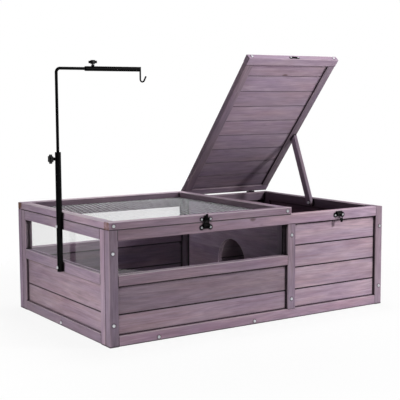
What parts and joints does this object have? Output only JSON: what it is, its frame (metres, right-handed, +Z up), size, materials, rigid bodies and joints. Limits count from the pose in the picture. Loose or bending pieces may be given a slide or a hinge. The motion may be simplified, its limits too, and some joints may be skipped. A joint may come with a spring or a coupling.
{
  "type": "tortoise house",
  "caption": "Low timber tortoise house with a windowed run under a hinged mesh lid, a boarded shelter under a propped wood lid, and an adjustable lamp stand.",
  "frame": {"origin": "middle of the house's footprint, on the ground", "axes": "+X to the right along the front, +Y from the front to the back, +Z up"},
  "size_m": [0.9565, 0.6003, 0.7443],
  "materials": {
    "black_hardware": "black powder coat",
    "black_plastic": "moulded, satin",
    "black_tube": "black satin powder coat",
    "clear_acrylic": "clear, polished",
    "cross_timber": "washed softwood, grain across the house",
    "divider_board": "washed softwood board",
    "floor_board": "washed softwood board",
    "galvanised_wire": "galvanised, dull",
    "guide_plastic": "moulded",
    "lid_boards": "washed softwood boards",
    "lid_rails": "washed softwood, grain along the lid",
    "lid_stiles": "washed softwood, grain up the open lid",
    "long_timber": "washed softwood, grain along the house",
    "prop_wood": "washed softwood stick",
    "side_boards": "washed softwood boards",
    "upright_timber": "washed softwood, grain upright",
    "wall_boards": "washed softwood boards",
    "zinc_screw": "bright zinc"
  },
  "bodies": {
    "house": {"back_bottom_rail": "long_timber", "back_centre_post": "upright_timber", "back_end_posts": "upright_timber", "back_mid_rail": "long_timber", "back_run_boards": "wall_boards", "back_shelter_boards": "wall_boards", "back_top_rail": "long_timber", "back_window": "clear_acrylic", "divider_cleats": "upright_timber", "divider_panel": "divider_board", "floor_panel": "floor_board", "frame_screws": "zinc_screw", "front_bottom_rail": "long_timber", "front_centre_post": "upright_timber", "front_end_posts": "upright_timber", "front_mid_rail": "long_timber", "front_run_boards": "wall_boards", "front_shelter_boards": "wall_boards", "front_top_rail": "long_timber", "front_window": "clear_acrylic", "hardware_screws": "zinc_screw", "hinge_house_leaves": "black_hardware", "hinge_pins": "black_hardware", "lamp_post_tube": "black_tube", "latch_plates": "black_hardware", "left_boards": "side_boards", "left_bottom_rail": "cross_timber", "left_mid_rail": "cross_timber", "left_stiles": "upright_timber", "left_top_rail": "cross_timber", "left_window": "clear_acrylic", "prop_bolt": "zinc_screw", "right_boards": "side_boards", "right_bottom_rail": "cross_timber", "right_stiles": "upright_timber", "right_top_rail": "cross_timber"},
    "mesh_lid": {"mesh_lid_back_rail": "long_timber", "mesh_lid_front_rail": "long_timber", "mesh_lid_hinge_leaves": "black_hardware", "mesh_lid_keeper": "black_hardware", "mesh_lid_screws": "zinc_screw", "mesh_lid_side_rails": "cross_timber", "wire_mesh": "galvanised_wire"},
    "wood_lid": {"wood_lid_back_rail": "lid_rails", "wood_lid_boards": "lid_boards", "wood_lid_front_rail": "lid_rails", "wood_lid_hinge_leaves": "black_hardware", "wood_lid_keeper": "black_hardware", "wood_lid_screws": "zinc_screw", "wood_lid_stiles": "lid_stiles"},
    "mesh_hasp": {"mesh_hasp": "black_hardware"},
    "wood_hasp": {"wood_hasp": "black_hardware"},
    "prop": {"prop_stick": "prop_wood"},
    "lamp_slider": {"rod_guide_bush": "guide_plastic"},
    "lamp_rod": {"lamp_rod": "black_tube"},
    "lamp_arm": {"lamp_arm_tube": "black_tube", "lamp_hook": "black_tube"},
    "height_knob": {"height_knob": "black_plastic"},
    "arm_knob": {"arm_knob": "black_plastic"}
  },
  "joints": [
    {"name": "mesh_lid_hinge", "type": "hinge", "parent": "house", "child": "mesh_lid", "pos_m": [-0.17288, 0.289, 0.29525], "axis": [-1, 0, 0], "range_deg": [0, 45]},
    {"name": "wood_lid_hinge", "type": "hinge", "parent": "house", "child": "wood_lid", "pos_m": [0.28787, 0.289, 0.29525], "axis": [-1, 0, 0], "range_deg": [-49.5, 0]},
    {"name": "prop_pivot", "type": "hinge", "parent": "house", "child": "prop", "pos_m": [0.427, 0.009, 0.28], "axis": [0.9938, 0, -0.1115], "range_deg": [0, 208.8]},
    {"name": "mesh_hasp_pivot", "type": "hinge", "parent": "house", "child": "mesh_hasp", "pos_m": [-0.17288, -0.289, 0.2885], "axis": [1, 0, 0], "range_deg": [0, 155]},
    {"name": "wood_hasp_pivot", "type": "hinge", "parent": "house", "child": "wood_hasp", "pos_m": [0.28787, -0.289, 0.2885], "axis": [1, 0, 0], "range_deg": [-155, 0]},
    {"name": "lamp_height", "type": "slide", "parent": "house", "child": "lamp_slider", "axis": [0, 0, 1], "range_m": [-0.1, 0.04]},
    {"name": "lamp_swivel", "type": "hinge", "parent": "lamp_slider", "child": "lamp_rod", "pos_m": [-0.468, -0.019, 0.398], "axis": [0, 0, 1], "continuous": true},
    {"name": "arm_reach", "type": "slide", "parent": "lamp_rod", "child": "lamp_arm", "axis": [1, 0, 0], "range_m": [-0.06, 0.06]},
    {"name": "height_knob_turn", "type": "hinge", "parent": "house", "child": "height_knob", "pos_m": [-0.468, -0.019, 0.459], "axis": [-1, 0, 0], "continuous": true},
    {"name": "arm_knob_turn", "type": "hinge", "parent": "lamp_arm", "child": "arm_knob", "pos_m": [-0.36, -0.019, 0.6985], "axis": [0, 0, 1], "continuous": true}
  ],
  "couplings": [
    {"joint": "prop_pivot", "follows": "wood_lid_hinge", "ratio": -4.2182}
  ]
}
